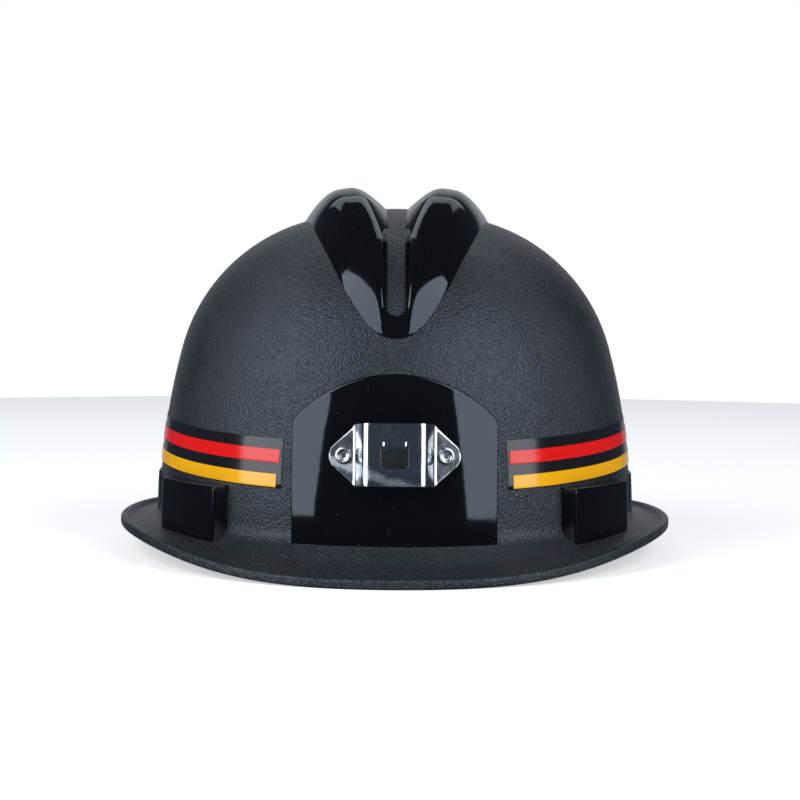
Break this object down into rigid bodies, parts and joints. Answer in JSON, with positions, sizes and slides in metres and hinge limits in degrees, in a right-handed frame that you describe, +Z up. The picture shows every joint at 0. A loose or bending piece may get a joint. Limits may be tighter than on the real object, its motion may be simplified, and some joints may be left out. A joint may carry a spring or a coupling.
{
  "type": "safety helmet",
  "caption": "Full-brim safety helmet with crown ridges, a riveted cap-lamp bracket, stripe tapes and a webbing suspension with a ratchet headband.",
  "frame": {"origin": "middle of the brim's bounding box at its lowest level, which is the surface it stands on", "axes": "+Y from the forehead to the nape, the front is towards -Y, +X to the left-hand side of a viewer behind it, +Z up"},
  "size_m": [0.256, 0.3, 0.1661],
  "materials": {
    "shell_matte": "fine leather grain",
    "shell_gloss": "polished mould face",
    "zinc_steel": "bright zinc plate, scratched",
    "rivet_steel": "nickel plate",
    "tape_black": "glossy film",
    "stripe_red": "reflective film",
    "stripe_yellow": "reflective film",
    "webbing": "woven polyester",
    "pad_fabric": "knitted mesh over foam",
    "pad_leather": "perforated sweat leather",
    "band_plastic": "moulded polyethylene",
    "knob_plastic": "moulded nylon",
    "gear_plastic": "natural acetal"
  },
  "bodies": {
    "root": {"shell": "shell_matte", "lamp_bracket": "zinc_steel", "bracket_rivets": "rivet_steel", "rivet_washers": "rivet_steel", "tape_left": "tape_black", "tape_right": "tape_black", "red_stripes": "stripe_red", "yellow_stripes": "stripe_yellow", "hanger_keys": "band_plastic", "crown_strap_lower": "webbing", "crown_strap_upper": "webbing", "crown_pad": "pad_fabric", "headband": "band_plastic", "brow_pad": "pad_leather", "band_tail_left": "band_plastic", "band_tail_right": "band_plastic", "cable_clip": "zinc_steel", "clip_rivet": "rivet_steel", "clip_washer": "rivet_steel"},
    "nape_unit": {"ratchet_housing": "band_plastic", "ratchet_cover": "band_plastic", "cover_screws": "rivet_steel", "nape_pad": "pad_leather", "click_ring": "rivet_steel"},
    "knob": {"pinion": "gear_plastic", "adjust_knob": "knob_plastic", "knob_screw": "rivet_steel"}
  },
  "joints": [
    {"name": "nape_slide", "type": "slide", "parent": "root", "child": "nape_unit", "axis": [0, -1, 0], "range_m": [-0.005, 0.023], "deforming": ["band_tail_left", "band_tail_right"]},
    {"name": "knob_turn", "type": "hinge", "parent": "nape_unit", "child": "knob", "pos_m": [0, 0.087, 0.026], "axis": [0, 1, 0], "range_deg": [-51, 252]}
  ],
  "couplings": [
    {"joint": "nape_slide", "follows": "knob_turn", "m_per_rad": 0.005}
  ]
}
